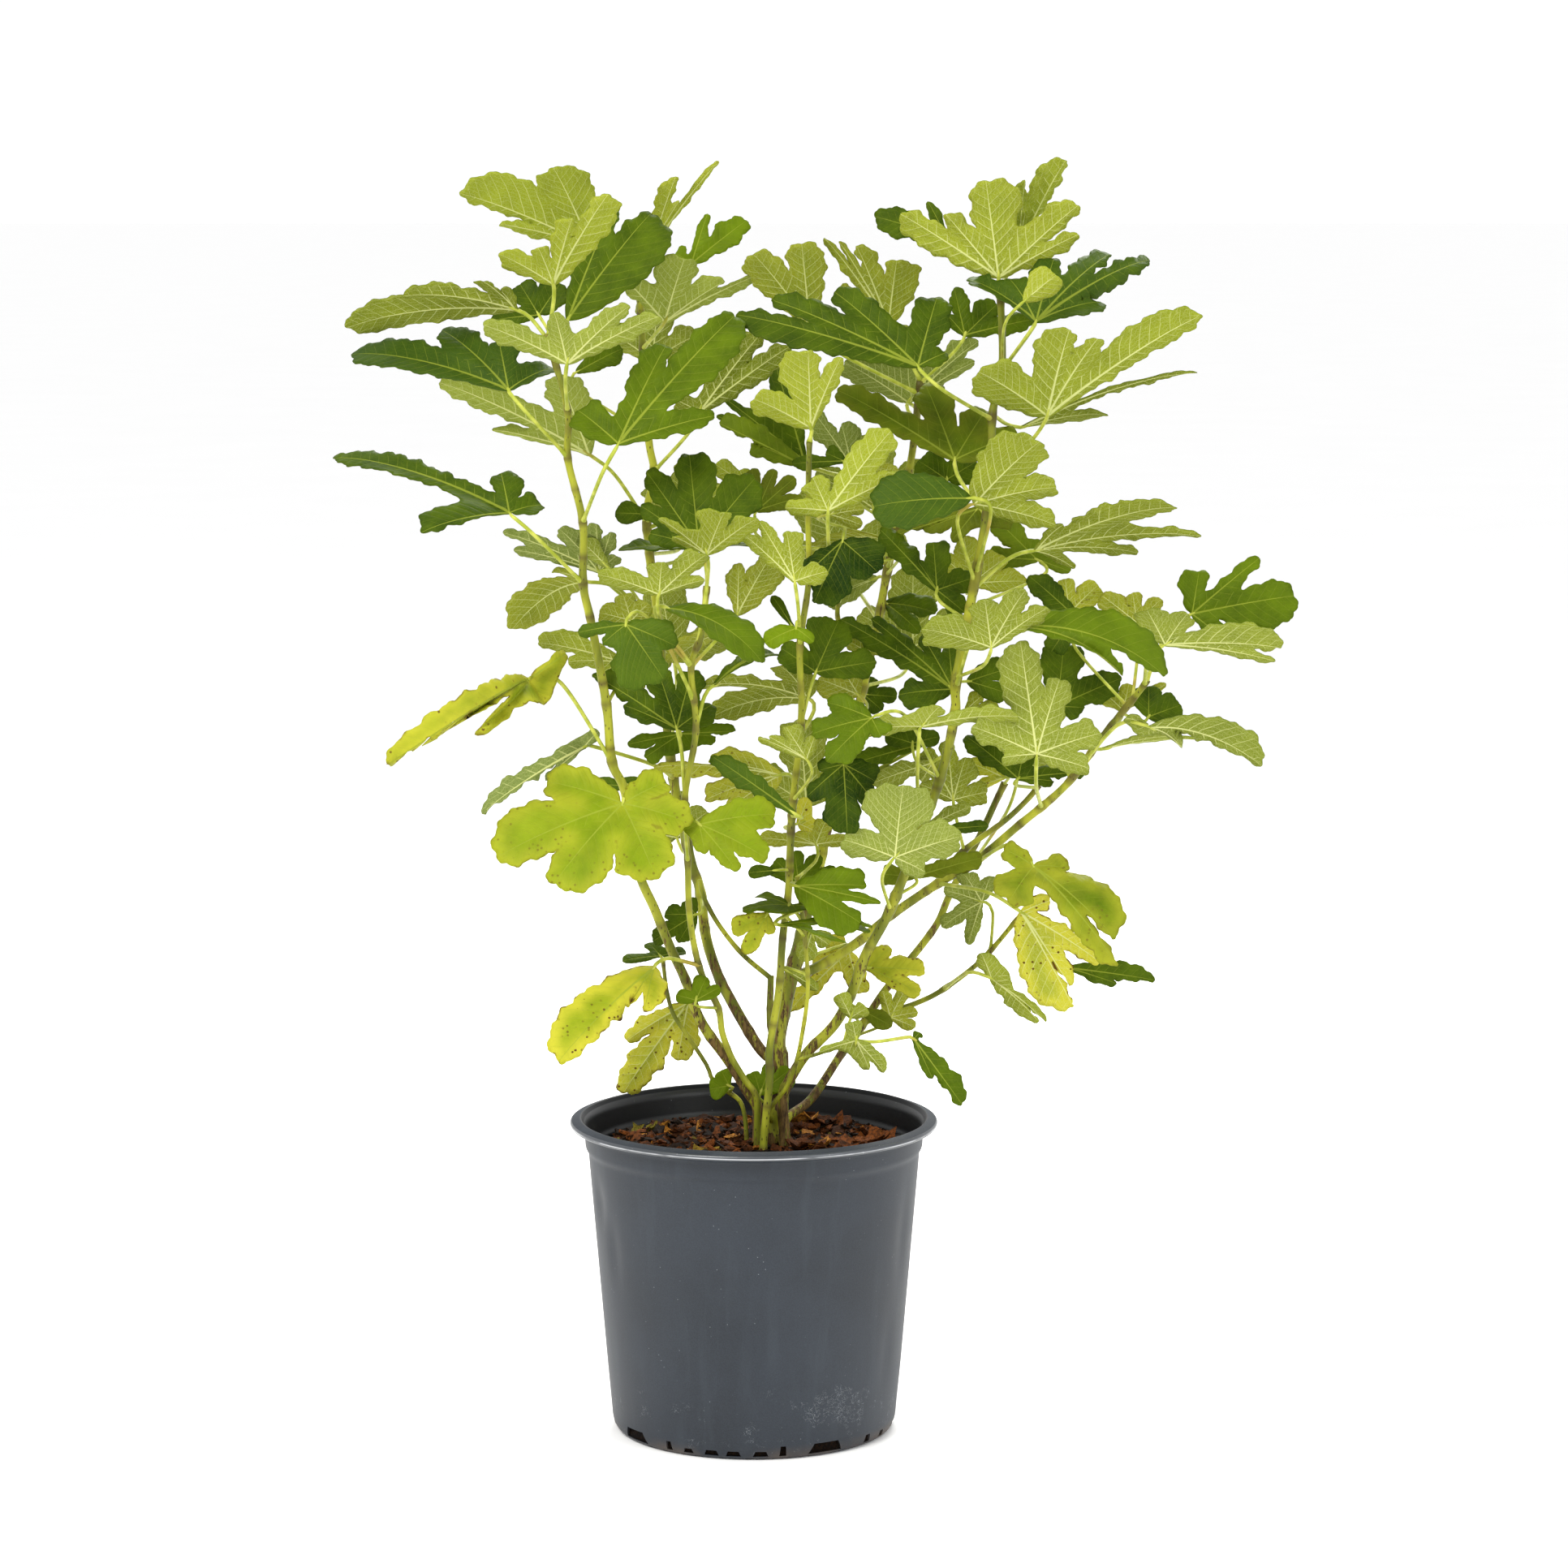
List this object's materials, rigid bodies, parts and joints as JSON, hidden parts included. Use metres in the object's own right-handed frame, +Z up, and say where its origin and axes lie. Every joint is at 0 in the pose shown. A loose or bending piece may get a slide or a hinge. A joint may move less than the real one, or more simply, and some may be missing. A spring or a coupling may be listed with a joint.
{
  "type": "potted fig plant",
  "caption": "Young hardy fig with several upright canes and lobed leaves, rooted in bark mix in a round tapered nursery pot.",
  "frame": {"origin": "centre of the pot's flat underside", "axes": "+Z up through the pot, -Y towards the side that the picture shows, +X to its right"},
  "size_m": [0.7202, 0.346, 0.9657],
  "materials": {
    "pot_plastic": "satin charcoal",
    "potting_mix": "rough, damp",
    "fig_trunk": "satin leaf and bark",
    "fig_cane_left": "satin leaf and bark",
    "fig_cane_inner_left": "satin leaf and bark",
    "fig_cane_front": "satin leaf and bark",
    "fig_cane_right": "satin leaf and bark",
    "fig_cane_back": "satin leaf and bark",
    "fig_shoot_left": "satin leaf and bark"
  },
  "bodies": {
    "root": {"pot": "pot_plastic", "soil": "potting_mix", "trunk": "fig_trunk", "cane_left": "fig_cane_left", "cane_inner_left": "fig_cane_inner_left", "cane_front": "fig_cane_front", "cane_right": "fig_cane_right", "cane_back": "fig_cane_back", "shoot_left": "fig_shoot_left"}
  },
  "joints": []
}
